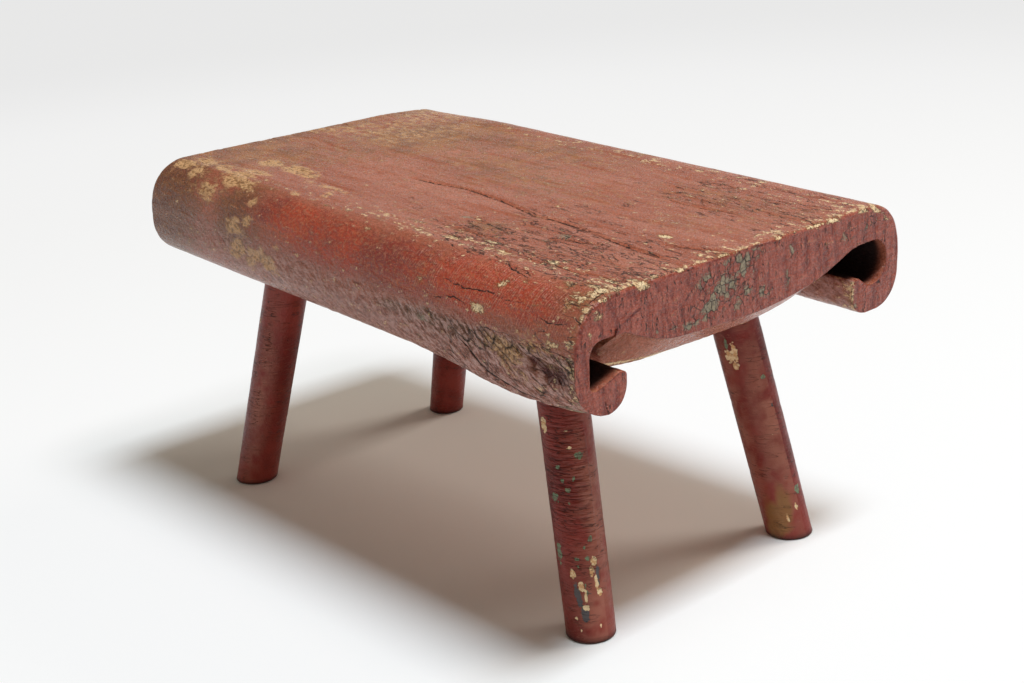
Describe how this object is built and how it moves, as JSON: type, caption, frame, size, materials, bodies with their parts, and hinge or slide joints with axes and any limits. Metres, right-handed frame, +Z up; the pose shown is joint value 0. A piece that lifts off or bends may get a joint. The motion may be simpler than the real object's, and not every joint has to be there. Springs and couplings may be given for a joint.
{
  "type": "low bench",
  "caption": "Low carved wooden bench in worn red paint: slab seat with sides rolled under into hollow lips, bowed belly, splayed round legs.",
  "frame": {"origin": "on the floor, under the middle of the bench's overall box", "axes": "+X along the seat towards its lower end, +Y across it to the back, +Z up"},
  "size_m": [0.4028, 0.252, 0.2258],
  "materials": {
    "seat_paint": "old brick-red paint over grey-green and cream, crazed, chipped to primer and wood, dull satin",
    "leg_paint": "dark red-brown paint, crazed round the leg, chipped to grey-green and cream, satin",
    "bare_wedge": "bare riven hardwood, never painted"
  },
  "bodies": {
    "root": {"seat": "seat_paint", "leg_right_front": "leg_paint", "leg_right_back": "leg_paint", "leg_left_front": "leg_paint", "leg_left_back": "leg_paint", "wedge_right_front": "bare_wedge", "wedge_right_back": "bare_wedge", "wedge_left_front": "bare_wedge", "wedge_left_back": "bare_wedge"}
  },
  "joints": []
}
